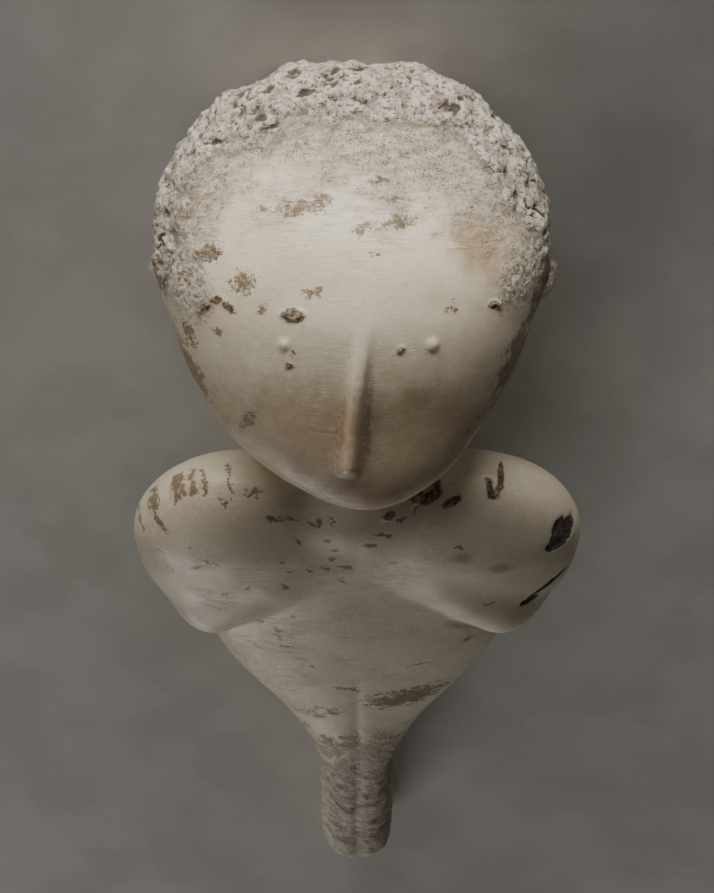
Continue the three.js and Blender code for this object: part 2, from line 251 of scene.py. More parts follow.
def head(p):
    local = to_head(p)
    side, crownward = local[:, 0], local[:, 1]
    depth = np.where(local[:, 2] > 0, face_depth_at(crownward), BACK_DEPTH)
    level = share_of_outline(local) ** HEAD_SQUARENESS
    level = level + np.abs(local[:, 2] / depth) ** HEAD_SQUARENESS
    form = (level ** (1 / HEAD_SQUARENESS) - 1) * depth
    ridge = NOSE_HEIGHT * ease(-2, -14, crownward) * ease(-25.6, -24.0, crownward)
    beside_ridge = (side - NOSE_CENTRE - NOSE_LEAN * crownward) / NOSE_HALF_WIDTH
    form = form - ridge * np.exp(-(beside_ridge**4)) * (local[:, 2] > 0)
    for eye in EYES:
        form = blend_union(form, ellipsoid(local, eye, EYE_RADII), EYE_BLEND)
    for ear, lean in EARS:
        form = blend_union(form, ellipsoid(local, ear, EAR_RADII, lean), EAR_BLEND)
    return form


# %% [markdown]
# ## The whole form
#
# The neck joins head and shoulders, and a shallow groove parts the legs front and back.
# It fades into a very faint line up the belly. `settle` moves points onto the surface by
# Newton steps along the slope of the function.

# %% The whole form
ARMPIT_BLEND, SHOULDER_BLEND = 0.7, 9
NECK_FOOT, NECK_FOOT_RADIUS = (0, 106, -1.2), 6.2
NECK_TOP, NECK_TOP_RADIUS = (-0.3, 128, -5.5), 5.4
NECK_BLEND, HEAD_BLEND = 6.0, 3.0
GROOVE_DEPTH, BELLY_LINE_DEPTH, GROOVE_HALF_WIDTH = 0.45, 0.12, 0.8


def figurine_form(p):
    arm_blend = ARMPIT_BLEND + SHOULDER_BLEND * ease(82, 102, p[:, 1])
    form = blend_union(torso_and_legs(p), arms(p), arm_blend)
    neck = tapered_rod(p, NECK_FOOT, NECK_FOOT_RADIUS, NECK_TOP, NECK_TOP_RADIUS)
    form = blend_union(form, neck, NECK_BLEND)
    form = blend_union(form, head(p), HEAD_BLEND)
    groove = GROOVE_DEPTH * (1 - ease(36, 46, p[:, 1]))
    groove = groove + BELLY_LINE_DEPTH * (1 - ease(50, 68, p[:, 1]))
    return form + groove * np.exp(-((p[:, 0] / GROOVE_HALF_WIDTH) ** 2))


def slope_at(p, reach=0.02):
    """Which way, and how fast, the function of the figurine grows at each point."""
    steps = np.eye(3) * reach
    ahead_and_behind = [(figurine_form(p + s), figurine_form(p - s)) for s in steps]
    return np.stack([(ahead - behind) / (2 * reach) for ahead, behind in ahead_and_behind], 1)


def settle(p, rounds=4):
    """Moves points onto the surface of the figurine."""
    for _ in range(rounds):
        slope = slope_at(p)
        steepness = np.maximum(np.linalg.norm(slope, axis=1), 0.2)
        step = np.clip(figurine_form(p) / steepness, -0.6, 0.6) / steepness
        p = p - step[:, None] * slope
    return p


# %% [markdown]
# ## Finding how the measured stone lies
#
# The measured model lies on its back, tipped by some angle and moved to the floor. Three
# numbers describe that: the angle and the shift lengthwise and upward. A few rounds of
# least squares find them, so the fine surface lands exactly on the measured one.

# %% Register the form on the measured model
cad = frame["nodes"]["figurine"]
cad_points = np.array([v.co for v in cad.data.vertices]) * 1000
# The rest flats are cut below the form, so they are left out of the fit.
on_form = cad_points[cad_points[:, 2] > 1.0]


def stand_up(p, lie):
    """Points of the lying stone, in mm, to standing coordinates."""
    angle, along, up = lie
    y, z = p[:, 1] + along, p[:, 2] + up
    c, s = math.cos(angle), math.sin(angle)
    return np.stack([p[:, 0], y * c + z * s, z * c - y * s], 1)


def lie_down(p, lie):
    """Standing coordinates to points of the lying stone, in mm."""
    angle, along, up = lie
    c, s = math.cos(angle), math.sin(angle)
    y, z = p[:, 1] * c - p[:, 2] * s, p[:, 1] * s + p[:, 2] * c
    return np.stack([p[:, 0], y - along, z - up], 1)


lie = np.array([math.radians(13), 82.0, -2.4])
nudges = np.diag([1e-4, 1e-2, 1e-2])
for _ in range(6):
    error = figurine_form(stand_up(on_form, lie))
    change = [(figurine_form(stand_up(on_form, lie + n)) - error) / n.max() for n in nudges]
    lie = lie - np.linalg.lstsq(np.stack(change, 1), error, rcond=None)[0]
error = figurine_form(stand_up(on_form, lie))
print(f"lies tipped {math.degrees(lie[0]):.2f} degrees; fit within {np.abs(error).max():.3f} mm")

# %% [markdown]
# ## A fine skin
#
# A voxel remesh wraps the faceted stone in an even net of small squares, and settling
# puts every point back on the true form. Half a millimetre between points is about the
# size of the smallest pit that shows as a shape; finer grain is left to the finish.

# %% Wrap the stone in a fine skin
SKIN_STEP_MM = 0.51
coarse = bpy.data.meshes.new("coarse")
merged, first_of = np.unique(np.round(cad_points, 3), axis=0, return_inverse=True)
first_of = first_of.reshape(-1)
faces = [first_of[list(facet.vertices)].tolist() for facet in cad.data.polygons]
coarse.from_pydata(merged.tolist(), [], faces)
stone = bpy.data.objects.new("marble_idol", coarse)
bpy.context.scene.collection.objects.link(stone)
wrap = stone.modifiers.new("wrap", "REMESH")
wrap.mode = "VOXEL"
wrap.voxel_size = SKIN_STEP_MM
wrap.use_smooth_shade = True
wrapped = stone.evaluated_get(bpy.context.evaluated_depsgraph_get())
skin = bpy.data.meshes.new_from_object(wrapped)
stone.modifiers.clear()
stone.data = skin

points = np.empty(len(skin.vertices) * 3)
skin.vertices.foreach_get("co", points)
points = settle(stand_up(points.reshape(-1, 3), lie))
normals = slope_at(points)
normals /= np.linalg.norm(normals, axis=1)[:, None]
print(f"skin: {len(skin.polygons)} squares, {len(points)} points")

# %% [markdown]
# ## Noise for weathering
#
# Stone wears by chance but not at random: pits have a size. Gradient noise gives smooth
# lumps of one size, and adding octaves gives smaller lumps on them. A hash of whole
# numbers stands in for stored random values, so every run gives the same stone.

# %% Repeatable noise
# Gradient noise by itself stays well inside -1 to 1, so it is scaled up by this much.
TO_UNIT_RANGE = 5.2


def lattice_value(cell, seed):
    """A repeatable number from 0 to 1 for each whole-number cell."""
    n = cell.astype(np.int64) * np.array([73856093, 19349663, 83492791])
    mixed = (n[..., 0] ^ n[..., 1] ^ n[..., 2] ^ (seed * 2654435761)) & 0xFFFFFFFF
    mixed = ((mixed ^ (mixed >> 15)) * 2246822519) & 0xFFFFFFFF
    mixed = ((mixed ^ (mixed >> 13)) * 3266489917) & 0xFFFFFFFF
    return ((mixed ^ (mixed >> 16)) & 0xFFFF) / 65535.0


def lumps(p, size, seed, octaves=1):
    """Smooth noise, mostly between -1 and 1, with lumps about `size` mm across."""
    total, weight, reach = 0.0, 0.0, 1.0
    for octave in range(octaves):
        # Each octave is turned a different way, so the lattice doesn't show.
        angle = 0.7 + 1.3 * octave + 0.37 * seed
        c, t = math.cos(angle), math.sin(angle)
        turned = p @ np.array([[c, t, 0], [-t * 0.8, c * 0.8, 0.6], [0.6 * t, -0.6 * c, 0.8]])
        q = turned / (size * reach)
        base = np.floor(q)
        inside = q - base
        fade = inside**3 * (inside * (6 * inside - 15) + 10)
        for corner in np.ndindex(2, 2, 2):
            share = np.prod(np.where(corner, fade, 1 - fade), axis=1)
            cell = base + corner
            slope = [lattice_value(cell, seed + 31 * octave + 7 * k) - 0.5 for k in range(3)]
            total = total + reach * share * np.sum((inside - corner) * np.stack(slope, 1), axis=1)
        weight += reach**2
        reach *= 0.5
    return total / math.sqrt(weight) * TO_UNIT_RANGE


# %% [markdown]
# ## Where the stone has weathered
#
# The crown has weathered most. Its rim is a knobbly crust full of pits, the forehead
# below it is merely matt, and the polish survives from the brow down. The lower legs
# carry a grainy, lime-like crust. Each region is a number from 0 to 1 at every point of
# the skin, and drives both the carving of the relief and the colours later.

# %% Map the weathered regions
local = to_head(points)
across, crownward, outward = local.T
rim = share_of_outline(local)
on_head = ease(120, 126, points[:, 1]) * ease(-36, -33, crownward)
face_direction = np.array([0, math.sin(TIP_BACK), math.cos(TIP_BACK)])
front = ease(-0.25, 0.15, normals @ face_direction)

# The matt zone starts at mid-forehead and drops toward both temples.
shoreline = 13.0 - 0.020 * across**2 - 1.5 * (across > 0)
ragged = lumps(points, 9, 11, 4)
matt = on_head * ease(-7, 10, crownward - shoreline + 4.0 * ragged)
matt = np.maximum(matt, on_head * (1 - front) * ease(-16, 8, crownward + 5 * ragged))
crust_edge = rim + 0.10 * lumps(points, 7, 12, 4) + 0.10 * ease(14, 26, crownward)
crust = on_head * ease(0.72, 1.0, crust_edge) * ease(-1, 9, crownward + 3 * ragged)

leg_crust = 1 - ease(26, 50, points[:, 1] + 8 * lumps(points, 5, 21, 3))
print("matt", round(float(matt.mean()), 3), "crust", round(float(crust.mean()), 3))

# %% [markdown]
# ## Single scars, crumbs, stains and painted shade
#
# Beyond the broad regions, the stone has marks that anyone would know it by. Crumbs and
# scars have a thickness, so they are listed here, once, for the relief and for the colour:
# each is a soft oval given by its middle, its half-length and half-width, and the angle it
# is turned by. Head marks use the head's coordinates, body marks the standing ones.

# %% Place the crumbs, scars, stains and painted shade
BROW_CRUMBS = [
    (-8.0, -1.9, 1.9, 1.1, -6),
    (-20.0, -1.2, 1.2, 0.6, 30), (-18.5, -0.1, 1.1, 0.6, 15), (-16.8, -1.0, 1.4, 0.5, -46),
    (-8.5, -9.0, 0.6, 0.5, 0), (19.3, -0.8, 0.9, 0.6, 0), (6.6, -6.7, 0.7, 0.5, 30),
]
COLLAR_CRUMBS = [
    (10.0, 112.4, 2.6, 1.2, 16), (13.6, 111.8, 1.8, 0.6, 24), (4.7, 110.4, 1.1, 0.8, 40),
    (19.2, 112.6, 1.1, 0.5, -60), (20.6, 112.9, 1.3, 0.4, 55),
]
SHOULDER_CHIP = [
    (29.8, 102.4, 1.9, 2.2, 10), (28.7, 101.4, 1.4, 1.0, 0), (29.2, 104.2, 1.0, 1.2, 0),
]
ARM_SCAR = [(28.2, 89.4, 4.2, 0.6, 42), (25.6, 86.2, 1.6, 0.7, 20)]
BODY_TAN = [(15.2, 102.4, 2.6, 1.9, 10), (21.1, 99.5, 3.2, 2.0, -10), (16.0, 77.0, 5.0, 2.0, -35)]
FACE_TAN = [(17.0, 6.5, 8.5, 5.0, -45), (9.0, -14.5, 6.0, 4.5, 0), (5.0, -18.0, 3.5, 5.0, 0)]
TEMPLE_GRAIN = [(-23.0, 2.0, 8.0, 4.2, -62), (-20.0, 6.0, 3.0, 1.5, 15), (23.5, 3.5, 7.5, 3.6, 62)]


def ovals(rows, u, v):
    """How near each point is to the closest oval: 1 at a middle, 0 at an edge or beyond."""
    best = np.zeros(len(points))
    for middle_u, middle_v, half_length, half_width, turn in rows:
        c, s = math.cos(math.radians(turn)), math.sin(math.radians(turn))
        du, dv = u - middle_u, v - middle_v
        away = np.hypot((c * du + s * dv) / half_length, (c * dv - s * du) / half_width)
        best = np.maximum(best, 1 - away)
    return best


in_front = front * ease(-4, 5, outward + 2.5 * ragged) * on_head
on_chest = (1 - on_head) * ease(-3, 0, points[:, 2])
crumbs = ovals(BROW_CRUMBS, across, crownward) * in_front
crumbs = np.maximum(crumbs, ovals(COLLAR_CRUMBS, points[:, 0], points[:, 1]) * on_chest)
scars = ovals(SHOULDER_CHIP + ARM_SCAR, points[:, 0], points[:, 1]) * on_chest

stains_and_painted_shade = ovals(BODY_TAN, points[:, 0], points[:, 1]) * on_chest
stains_and_painted_shade = np.maximum(stains_and_painted_shade, ovals(FACE_TAN, across, crownward) * in_front)
# The whole lower face is painted browner and darker, partly a brown stain and partly painted
# shade.
stains_and_painted_shade = np.maximum(stains_and_painted_shade, 0.75 * in_front * ease(-5, -19, crownward))
# The left leg is painted browner and darker too, partly a brown stain and partly painted shade.
left_leg = ease(0.5, 4.0, points[:, 0]) * (1 - ease(38, 54, points[:, 1]))
stains_and_painted_shade = np.maximum(stains_and_painted_shade, 0.4 * (1 - on_head) * left_leg)

near_edge = in_front * ease(0.90, 1.0, rim + 0.04 * ragged)
edge_stain = near_edge * ease(-24, -8, crownward) * (1 - ease(3, 9, crownward))
temple_grain = ovals(TEMPLE_GRAIN, across, crownward) * in_front
print("points under crumbs:", int((crumbs > 0).sum()), "in scars:", int((scars > 0).sum()))

# %% [markdown]
# ## Carving the weather into the stone
#
# The relief moves each point along its normal by a fraction of a millimetre. The crust is
# heaped up at the rim, where it also breaks the outline, and holed by pits drawn out
# sideways. On the legs the lime is a low, rough heap. The worked skin keeps a faint
# unevenness left by rubbing it with emery, and below the nose a shallow strip is sunk.

# %% Carve the relief
# Thicknesses and depths in millimetres.
CRUST_THICKNESS, PIT_DEPTH = 0.10, 0.70
MATT_LOSS, MATT_PIT_DEPTH = 0.04, 0.30
LIME_THICKNESS, CRUMB_THICKNESS = 0.08, 0.30
STRIP_DEPTH, SCAR_DEPTH = 0.06, 0.30

rough = lumps(points, 1.5, 43, 3)
sideways = points * np.array([0.5, 1.0, 1.0])
pits = ease(0.15, 0.70, lumps(sideways, 2.1, 41, 3)) * ease(-0.4, 0.3, lumps(points, 7, 44, 2))
pits = np.maximum(pits, 0.8 * ease(0.35, 0.8, lumps(points, 1.4, 47, 2)))

relief = 0.10 * lumps(points, 16, 40, 2)
heaps = 0.50 * lumps(points, 6.0, 45, 2) + 0.24 * lumps(points, 2.4, 48, 2)
relief += crust * (CRUST_THICKNESS + heaps + 0.20 * rough)
relief -= crust * PIT_DEPTH * pits
only_matt = matt * (1 - crust)
high_matt = only_matt * ease(6, 22, crownward)
relief += only_matt * (0.08 * lumps(sideways, 3.0, 49, 3) + 0.05 * rough - MATT_LOSS)
relief -= high_matt * MATT_PIT_DEPTH * ease(0.25, 0.9, lumps(sideways, 1.5, 50, 2))
relief += leg_crust * (LIME_THICKNESS + 0.14 * lumps(points, 3.4, 46, 2) + 0.15 * rough)
relief += ease(0.05, 0.5, temple_grain) * (0.05 + 0.13 * rough)

below_nose = np.exp(-(((across + 0.8) / 1.7) ** 4))
below_nose *= ease(-33, -31, crownward) * ease(-25, -27, crownward)
relief -= in_front * STRIP_DEPTH * below_nose
crumb_shape = ease(0.05, 0.5, crumbs + 0.30 * rough) * (crumbs > 0)
relief += crumb_shape * (CRUMB_THICKNESS + 0.22 * rough)
scar_shape = ease(0.02, 0.18, scars + 0.10 * rough) * (scars > 0)
relief -= scar_shape * (SCAR_DEPTH - 0.08 * rough)

weathered = points + relief[:, None] * normals
laid = lie_down(weathered, lie)
laid[:, 2] = np.maximum(laid[:, 2], 0)
print(f"relief from {relief.min():.2f} to {relief.max():.2f} mm")

# %% Put the skin on the measured stone
skin.vertices.foreach_set("co", (laid / 1000).ravel())
skin.polygons.foreach_set("use_smooth", np.ones(len(skin.polygons), bool))
skin.update()

# Each region is kept as a number per point on the skin, for the finish to read.
stored_regions = {
    "matt": matt, "crust": crust, "leg_crust": leg_crust, "pits": pits * crust,
    "crumbs": crumbs, "scars": scars, "stains_and_painted_shade": stains_and_painted_shade, "edge_stain": edge_stain,
    "temple_grain": temple_grain, "face_side": in_front, "chest_side": on_chest,
    "hollow": 0.5 - relief,
}
for name, values in stored_regions.items():
    attribute = skin.attributes.new(name, "FLOAT", "POINT")
    attribute.data.foreach_set("value", np.clip(values, 0, 1).astype(np.float32))
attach(stone, "root")
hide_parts("figurine")
print(f"{len(stored_regions)} regions stored at {len(skin.vertices)} points")

# %% [markdown]
# ## Writing shader maths as sums
#
# A finish is a set of sums: this much brown where that noise is high. Adding a node for
# every plus sign hides them, so one small class wraps a socket and lets Python's own
# operators add the nodes. `0.5 * mask` works because the reflected forms are there too.

# %% A wire that can be added and multiplied


class Wire:
    """A number, colour or vector flowing through the finish's nodes."""

    def __init__(self, finish, socket):
        self.finish, self.socket = finish, socket

    def maths(self, operation, first, second):
        """One sum, worked out at every place on the surface."""
        return self.finish.node("ShaderNodeMath", {"operation": operation}, {0: first, 1: second})

    def __add__(self, other):
        return self.maths("ADD", self, other)

    def __radd__(self, other):
        return self.maths("ADD", other, self)

    def __sub__(self, other):
        return self.maths("SUBTRACT", self, other)

    def __mul__(self, other):
        return self.maths("MULTIPLY", self, other)

    def __rmul__(self, other):
        return self.maths("MULTIPLY", other, self)

    def __abs__(self):
        return self.maths("ABSOLUTE", self, 0.0)

    def either(self, other):
        """The stronger of two masks at each place."""
        return self.maths("MAXIMUM", self, other)

    def step(self, start, end):
        """0 below start, 1 above end, smooth between; start may be above end."""
        return self.finish.node(
            "ShaderNodeMapRange",
            {"interpolation_type": "SMOOTHSTEP", "clamp": True},
            {"Value": self, "From Min": start, "From Max": end},
        )


class Finish:
    """A material under construction."""

    def __init__(self, name):
        self.material = bpy.data.materials.new(name)
        self.material.use_nodes = True
        self.tree = self.material.node_tree
        self.shader = next(n for n in self.tree.nodes if n.type == "BSDF_PRINCIPLED")

    def join(self, value, socket):
        """Links a wire to a socket, or sets the socket to a fixed number or colour."""
        if isinstance(value, Wire):
            self.tree.links.new(value.socket, socket)
        elif hasattr(socket.default_value, "__len__"):
            width = len(socket.default_value)
            socket.default_value = (tuple(value) + (1.0,))[:width]
        else:
            socket.default_value = value

    def node(self, kind, settings, inputs, output=0):
        """Adds one node and returns a wire from one of its outputs."""
        made = self.tree.nodes.new(kind)
        for name, value in settings.items():
            setattr(made, name, value)
        for name, value in inputs.items():
            self.join(value, made.inputs[name])
        return Wire(self, made.outputs[output])

    def region(self, name):
        """A region stored on the skin, by its name."""
        return self.node("ShaderNodeAttribute", {"attribute_name": name}, {}, "Fac")

    def noise(self, place, per_mm, detail=2.0, roughness=0.5, stray=0.0):
        """Cloudy noise from 0 to 1, with about that many clouds to the millimetre."""
        inputs = {"Vector": place, "Scale": per_mm, "Detail": detail}
        inputs |= {"Roughness": roughness, "Distortion": stray}
        return self.node("ShaderNodeTexNoise", {}, inputs, "Fac")

    def cell_colours(self, place, per_mm):
        """A different colour for each small cell of space."""
        inputs = {"Vector": place, "Scale": per_mm}
        return self.node("ShaderNodeTexVoronoi", {"feature": "F1"}, inputs, "Color")

    def stretched(self, place, turn, stretch):
        """The same place turned and squeezed, which draws noise out into streaks."""
        return self.node(
            "ShaderNodeMapping", {},
            {"Vector": place, "Rotation": [math.radians(a) for a in turn], "Scale": stretch},
        )

    def paint(self, under, over, amount):
        """Lays one colour over another by an amount from 0 to 1."""
        mixed = {0: amount, 6: under, 7: over}
        return self.node("ShaderNodeMix", {"data_type": "RGBA"}, mixed, 2)

    def set(self, **sockets):
        """Sets the shader's sockets by name, with underscores for spaces."""
        for name, value in sockets.items():
            self.join(value, self.shader.inputs[name.replace("_", " ")])


# %% [markdown]
# ## The marble
#
# Fresh marble is nearly white; this one is cream, with faint clouds, a fine sparkle of
# crystals and the hair scratches of old polishing. Light goes a little way into it, which
# is why its shadows look warm instead of grey. The sparkle and the scratches could be
# images, but grain made of cells and stretched noise stays sharp at any distance.

# %% Marble body
marble = Finish("marble")
coordinates = marble.node("ShaderNodeTexCoord", {}, {}, "Object")


def scaled(vector, factor):
    """A vector made longer or shorter."""
    return marble.node(
        "ShaderNodeVectorMath", {"operation": "SCALE"}, {0: vector, "Scale": factor}
    )


MM_PER_METRE = 1000.0
place = scaled(coordinates, MM_PER_METRE)
clouds = marble.noise(place, 0.05, 4.0, 0.55, 0.6)
fine_clouds = marble.noise(place, 0.35, 3.0, 0.6)
colour = marble.paint((0.70, 0.625, 0.49), (0.80, 0.735, 0.61), clouds.step(0.35, 0.65))
colour = marble.paint(colour, (0.64, 0.55, 0.42), fine_clouds.step(0.52, 0.78) * 0.35)

crystals = marble.cell_colours(place, 2.2)
crystal_shade = marble.node("ShaderNodeSeparateColor", {}, {"Color": crystals}, "Red")
colour = marble.paint(colour, (0.93, 0.89, 0.82), crystal_shade.step(0.86, 0.98) * 0.25)
colour = marble.paint(colour, (0.60, 0.52, 0.42), crystal_shade.step(0.16, 0.03) * 0.18)


def hair_scratches(turn, stretch, per_mm):
    """Thin lines where drawn-out noise crosses its middle value."""
    drawn_out = marble.stretched(place, turn, stretch)
    wander = marble.noise(drawn_out, per_mm, 2.0, 0.4)
    return abs(wander - 0.5).step(0.020, 0.004)


scratches = hair_scratches((0, 0, 6), (0.10, 1.6, 1.6), 0.9)
scratches = scratches.either(hair_scratches((0, 0, -38), (0.09, 1.9, 1.2), 1.1))
scratches = scratches * marble.noise(place, 0.14, 2.0).step(0.42, 0.60)
colour = marble.paint(colour, (0.58, 0.49, 0.39), scratches * 0.20)
print("marble body:", len(marble.tree.nodes), "nodes")

# %% [markdown]
# ## Matt forehead, crust and lime
#
# Where the polish is gone the stone is drier and greyer, streaked sideways and peppered
# with pinholes. The crust at the rim is pale beige with dark pits; the lime on the legs is
# a little greyer. The edge of each region is broken by adding noise to its soft number
# before a step, so that it frays instead of ending in a line.

# %% Matt zone, crown crust and leg lime
grit = marble.noise(place, 1.5, 5.0, 0.66)
coarse_grit = marble.noise(place, 0.5, 4.0, 0.62)
pin_grit = marble.noise(place, 4.2, 2.0, 0.5)
drawn_sideways = marble.stretched(place, (0, 0, 3), (0.22, 1.0, 1.0))
streaks = marble.noise(drawn_sideways, 1.3, 4.0, 0.65)


def frayed(name, fray, start, end):
    """A stored region whose edge is broken by noise, and which never strays beyond itself."""
    region = marble.region(name)
    return (region + fray).step(start, end) * region.step(0.0, 0.12)


matt_mask = frayed("matt", (coarse_grit - 0.5) * 1.1 + (streaks - 0.5) * 1.1, 0.15, 0.95)
# Near the crust the matt zone is greyer and more pitted than where it fades out.
worn = marble.region("matt").step(0.45, 1.0) * 0.6
worn = worn + marble.region("crust").step(0.0, 0.35) * 0.4
matt_colour = marble.paint((0.55, 0.475, 0.385), (0.70, 0.63, 0.53), streaks.step(0.40, 0.60))
grey_streaks = (streaks + worn * 0.06).step(0.56, 0.44)
matt_colour = marble.paint(matt_colour, (0.37, 0.315, 0.26), grey_streaks * (0.35 + 0.45 * worn))
matt_colour = marble.paint(matt_colour, (0.40, 0.345, 0.29), worn * 0.35)
dark_grains = (grit + worn * -0.06).step(0.42, 0.33)
matt_colour = marble.paint(matt_colour, (0.26, 0.205, 0.155), dark_grains * 0.75)
matt_colour = marble.paint(matt_colour, (0.80, 0.75, 0.68), grit.step(0.57, 0.67) * 0.5)
pinholes = pin_grit.step(0.42, 0.33) * (coarse_grit + worn * 0.12).step(0.48, 0.60)
matt_colour = marble.paint(matt_colour, (0.15, 0.115, 0.085), pinholes * 0.85)
colour = marble.paint(colour, matt_colour, matt_mask * 0.9)

crust_mask = frayed("crust", (coarse_grit - 0.5) * 1.1 + (grit - 0.5) * 1.0, 0.15, 0.80)
crust_colour = marble.paint((0.50, 0.44, 0.375), (0.76, 0.70, 0.63), coarse_grit.step(0.40, 0.58))
crust_colour = marble.paint(crust_colour, (0.86, 0.82, 0.76), grit.step(0.52, 0.66) * 0.7)
crust_colour = marble.paint(crust_colour, (0.19, 0.145, 0.105), grit.step(0.47, 0.37) * 0.8)
pit_mask = (marble.region("pits") + (grit - 0.5) * 0.8).step(0.35, 0.80)
pit_mask = pit_mask.either(pin_grit.step(0.42, 0.32) * grit.step(0.56, 0.42))
crust_colour = marble.paint(crust_colour, (0.10, 0.075, 0.055), pit_mask * 0.85)
colour = marble.paint(colour, crust_colour, crust_mask)

leg_mask = frayed("leg_crust", (coarse_grit - 0.5) * 1.6 + (grit - 0.5) * 1.2, 0.25, 1.05)
relief_hollow = marble.region("hollow")
lime = marble.paint((0.56, 0.50, 0.43), (0.76, 0.71, 0.64), coarse_grit.step(0.38, 0.58))
lime = marble.paint(lime, (0.86, 0.82, 0.76), relief_hollow.step(0.42, 0.10) * 0.6)
lime = marble.paint(lime, (0.30, 0.25, 0.20), relief_hollow.step(0.62, 0.90) * 0.55)
lime = marble.paint(lime, (0.25, 0.20, 0.15), grit.step(0.44, 0.34) * 0.7)
colour = marble.paint(colour, lime, leg_mask * 0.92)
print("with crusts:", len(marble.tree.nodes), "nodes")

# %% [markdown]
# ## Stains, specks, root marks and painted shade
#
# Short crooked brown strokes, such as roots and soil leave on buried stone, lie on the
# chest and belly, with tan clouds and patches of fine specks. The strokes are about as
# narrow as the skin's squares, so they are drawn in the finish: a Mapping node brings each
# oval to a unit ball, a spherical gradient fills it, and the place is warped by noise
# first, which makes the ovals crooked. A row gives middle, half-length, half-width, turn.

# %% Flat marks on the brow, the chest and the belly
WARP_MM = 3.2
# An oval is this many times as wide as its row says where it has faded out altogether.
SOFTNESS = 1.6
# An oval reaches this far through the stone, so only its outline matters.
ALL_THE_WAY_MM = 1000.0

warp = marble.node(
    "ShaderNodeTexNoise", {},
    {"Vector": place, "Scale": 0.9, "Detail": 4.0, "Roughness": 0.7}, "Color",
)
middle = (0.5, 0.5, 0.5)
warp = marble.node("ShaderNodeVectorMath", {"operation": "SUBTRACT"}, {0: warp, 1: middle})
warp = scaled(warp, WARP_MM)
warped = marble.node("ShaderNodeVectorMath", {"operation": "ADD"}, {0: place, 1: warp})


def moved_into(where, origin, angles, scale=(1.0, 1.0, 1.0)):
    """The same place told in a frame with that origin, turn and unit lengths."""
    return marble.node(
        "ShaderNodeMapping", {"vector_type": "TEXTURE"},
        {"Vector": where, "Location": origin, "Rotation": angles, "Scale": scale},
    )


standing_origin = tuple(lie_down(np.zeros((1, 3)), lie)[0])
head_origin = tuple(lie_down(HEAD_CENTRE[None], lie)[0])
body_place = moved_into(warped, standing_origin, (lie[0], 0, 0))
head_place = moved_into(warped, head_origin, (lie[0] - TIP_BACK, 0, 0))


def strokes(where, rows):
    """Nearness to the closest stroke: 1 at its middle, 0 a little way beyond its edge."""
    nearest = None
    for u, v, half_length, half_width, turn in rows:
        size = (SOFTNESS * half_length, SOFTNESS * half_width, ALL_THE_WAY_MM)
        inside = moved_into(where, (u, v, 0), (0, 0, math.radians(turn)), size)
        near = marble.node(
            "ShaderNodeTexGradient", {"gradient_type": "SPHERICAL"}, {"Vector": inside}, "Fac"
        )
        nearest = near if nearest is None else nearest.either(near)
    return nearest


shoulder_blots = [
    (-26.2, 110.3, 1.2, 0.7, 60), (-25.2, 110.9, 0.8, 0.6, 0), (-23.6, 111.7, 1.0, 0.5, 50),
    (-22.0, 112.4, 0.5, 0.4, 0), (-29.6, 106.6, 1.6, 0.6, 60), (-28.4, 105.2, 1.5, 0.5, -30),
    (-31.4, 102.0, 1.0, 0.4, -50), (-18.3, 113.2, 1.2, 0.3, -50), (-19.0, 111.4, 0.7, 0.6, 0),
    (-15.0, 112.8, 1.7, 0.3, 5), (-17.8, 114.2, 0.8, 0.25, 10),
]
collar_strokes = [
    (-11.7, 109.5, 1.5, 0.5, -15), (-9.4, 109.4, 0.7, 0.3, 0), (-6.8, 108.7, 0.7, 0.4, -40),
    (-5.5, 108.9, 0.4, 1.0, -10), (-3.5, 109.5, 0.3, 1.0, 10), (3.9, 106.8, 2.0, 0.4, -12),
    (6.2, 109.3, 1.0, 0.4, 15), (2.0, 104.8, 1.1, 0.6, 0), (8.6, 110.6, 0.6, 0.4, 30),
]
breast_strokes = [
    (-8.3, 105.0, 0.3, 0.9, 20), (-4.4, 105.4, 0.7, 0.6, 10), (-3.2, 103.0, 0.8, 0.6, 0),
    (-3.6, 100.6, 1.3, 0.35, 38), (-4.4, 97.6, 1.3, 0.45, -50), (-1.6, 97.6, 1.6, 0.5, -25),
    (-2.2, 93.2, 1.5, 0.22, -52), (-9.6, 98.1, 0.9, 0.3, 10), (-7.0, 97.6, 1.0, 0.4, -35),
    (5.5, 99.8, 1.1, 0.5, 30), (-11.1, 100.8, 0.5, 0.3, 0), (-10.6, 93.7, 1.5, 0.4, -60),
]
arm_strokes = [
    (-21.5, 100.6, 2.2, 0.28, -20), (-23.4, 98.8, 1.5, 0.35, 35), (-24.5, 103.1, 0.4, 0.4, 0),
    (-16.0, 93.3, 0.5, 0.5, 0), (-19.7, 90.5, 0.9, 0.35, 40), (-27.0, 96.5, 0.9, 0.25, -50),
    (-28.5, 100.0, 0.8, 0.25, -30), (14.8, 104.8, 0.4, 0.4, 0), (19.6, 88.0, 1.3, 0.4, -5),
]
belly_strokes = [
    (-12.0, 75.6, 0.6, 2.8, 4), (-11.0, 71.8, 1.8, 0.4, -10), (-9.6, 81.9, 0.6, 0.6, 0),
    (-1.6, 58.6, 2.6, 0.5, -14), (-3.5, 49.9, 1.1, 0.35, 5), (9.4, 66.0, 2.5, 0.22, 14),
    (17.0, 72.0, 1.4, 0.35, 45), (-7.0, 66.0, 0.6, 0.4, 0), (-14.5, 79.0, 0.5, 0.5, 0),
]
chest_marks = shoulder_blots + collar_strokes + breast_strokes + arm_strokes + belly_strokes
stroke_mask = (strokes(body_place, chest_marks) + (grit - 0.5) * 1.2).step(0.34, 0.66)
stroke_mask = stroke_mask * marble.region("chest_side").step(0.3, 0.6)
print("strokes:", len(chest_marks))
